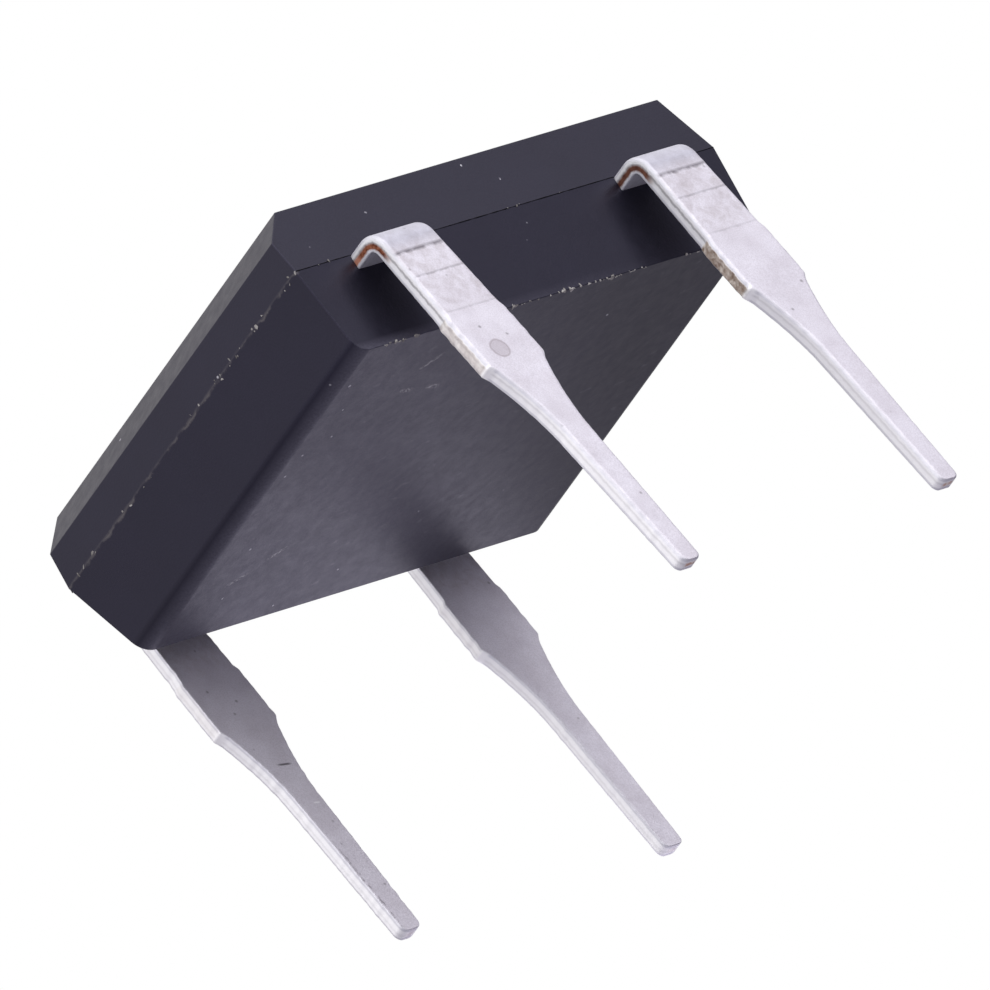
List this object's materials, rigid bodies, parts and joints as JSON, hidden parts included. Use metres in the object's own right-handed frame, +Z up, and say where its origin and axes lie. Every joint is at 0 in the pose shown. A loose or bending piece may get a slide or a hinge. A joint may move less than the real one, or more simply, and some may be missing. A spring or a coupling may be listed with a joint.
{
  "type": "bridge rectifier",
  "caption": "Through-hole bridge rectifier: a drafted black epoxy block with one bevelled end on flat tinned leads that bend down and taper to pins.",
  "frame": {"origin": "middle of the lead pattern on the board's face, level with the shoulders of the leads", "axes": "+Z up from the board, +X along the body away from its bevelled end, +Y from the direct-current row of leads to the alternating-current row"},
  "size_m": [0.0084, 0.0076, 0.0071],
  "materials": {
    "epoxy": "fine matte moulding",
    "tinned_copper": "matte tin plating",
    "silicon": "sawn silicon",
    "solder": "reflowed solder"
  },
  "bodies": {
    "root": {"moulded_body": "epoxy", "lead_positive": "tinned_copper", "lead_negative": "tinned_copper", "lead_ac_1": "tinned_copper", "lead_ac_2": "tinned_copper", "diode_1": "silicon", "diode_2": "silicon", "diode_3": "silicon", "diode_4": "silicon", "diode_1_cathode_solder": "solder", "diode_1_anode_solder": "solder", "diode_2_cathode_solder": "solder", "diode_2_anode_solder": "solder", "diode_3_cathode_solder": "solder", "diode_3_anode_solder": "solder", "diode_4_cathode_solder": "solder", "diode_4_anode_solder": "solder"}
  },
  "joints": []
}
